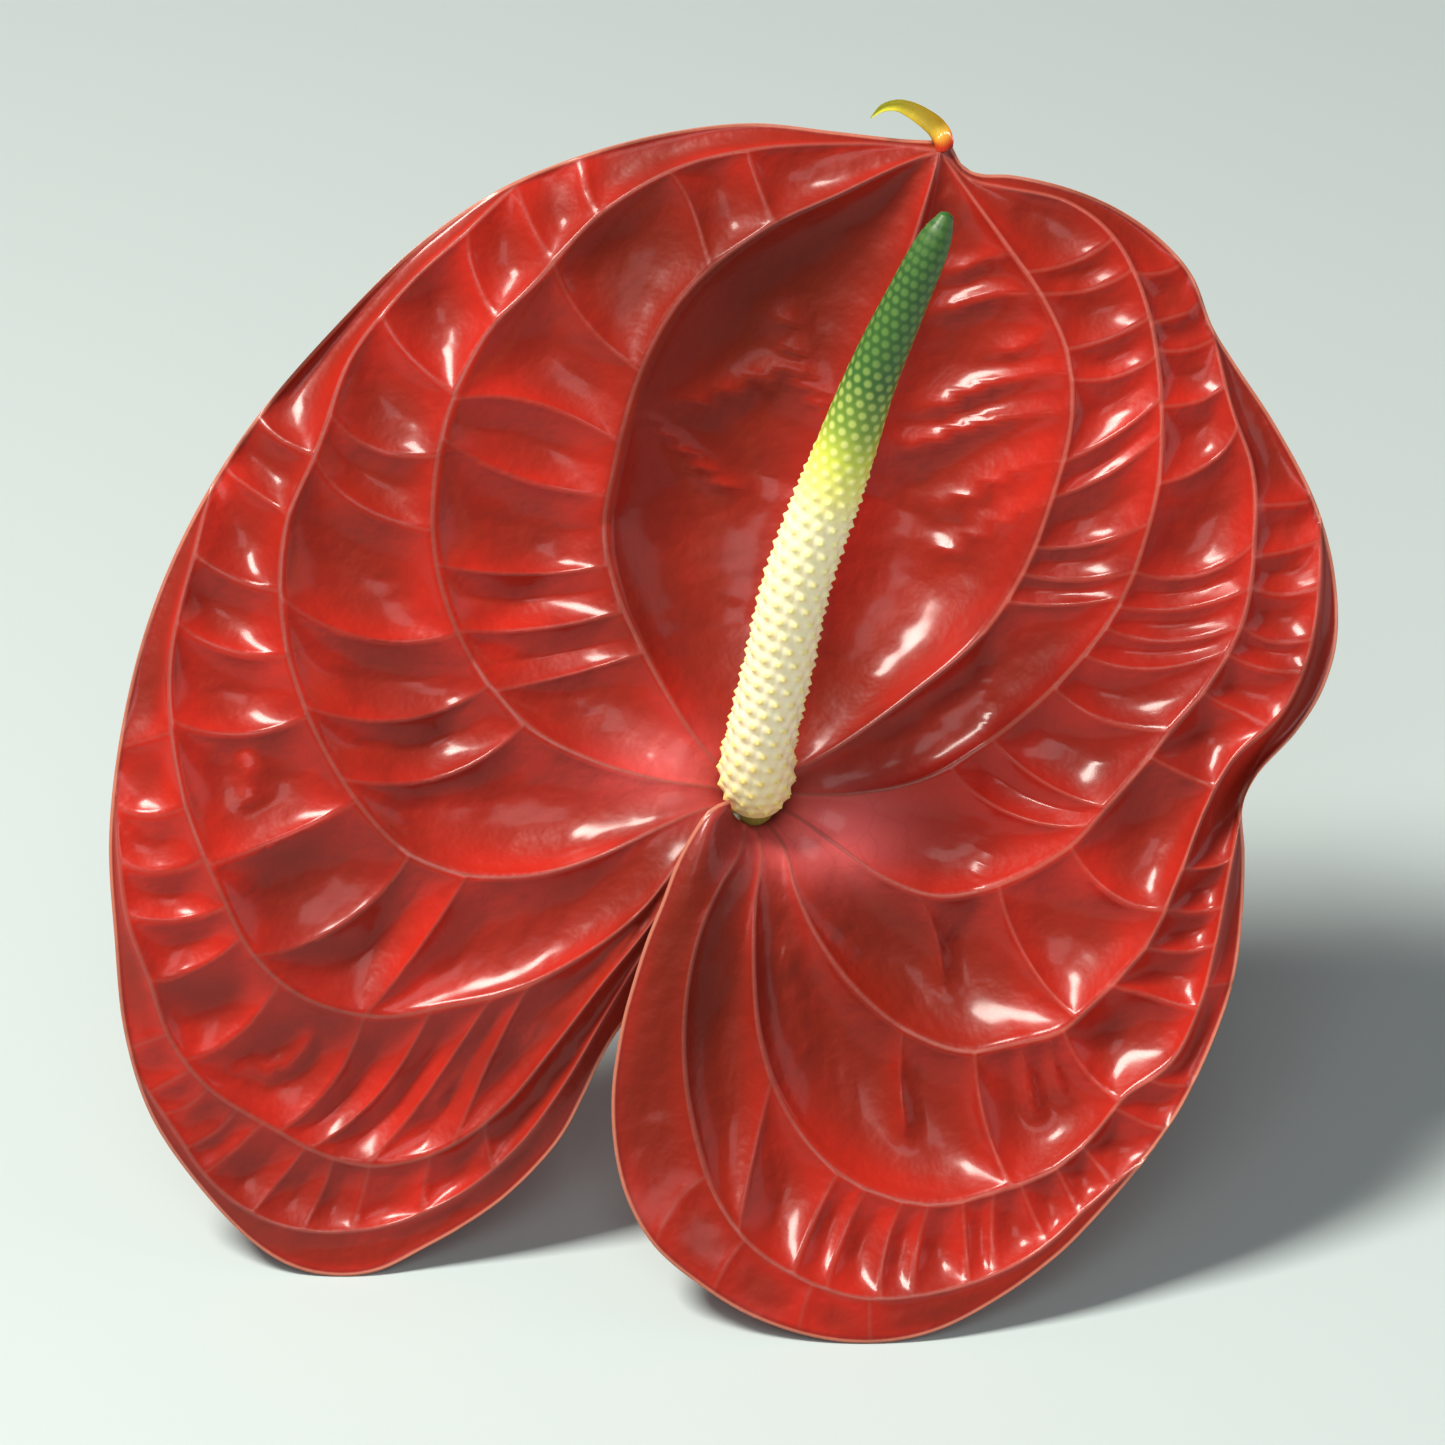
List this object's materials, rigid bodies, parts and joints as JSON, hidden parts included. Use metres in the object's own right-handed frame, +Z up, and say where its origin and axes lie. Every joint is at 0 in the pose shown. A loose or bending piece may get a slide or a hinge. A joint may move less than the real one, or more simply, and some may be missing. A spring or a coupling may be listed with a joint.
{
  "type": "anthurium cut flower",
  "caption": "Cut anthurium flower lying on its lobes and stem: glossy heart-shaped red spathe with raised veins and a cream to green spadix.",
  "frame": {"origin": "middle of the box's underside, on the surface that the flower lies on", "axes": "+Z up, +Y from the face of the spathe back along the stem, +X to the right as the face is seen from the front"},
  "size_m": [0.1468, 0.3092, 0.1341],
  "materials": {
    "spathe": "glossy waxy red petal with paler veins and rim",
    "spadix": "fleshy, beaded with florets, cream to lime to dark green",
    "stem": "smooth satin green stalk"
  },
  "bodies": {
    "root": {"spathe": "spathe", "spadix": "spadix", "stem": "stem"}
  },
  "joints": []
}
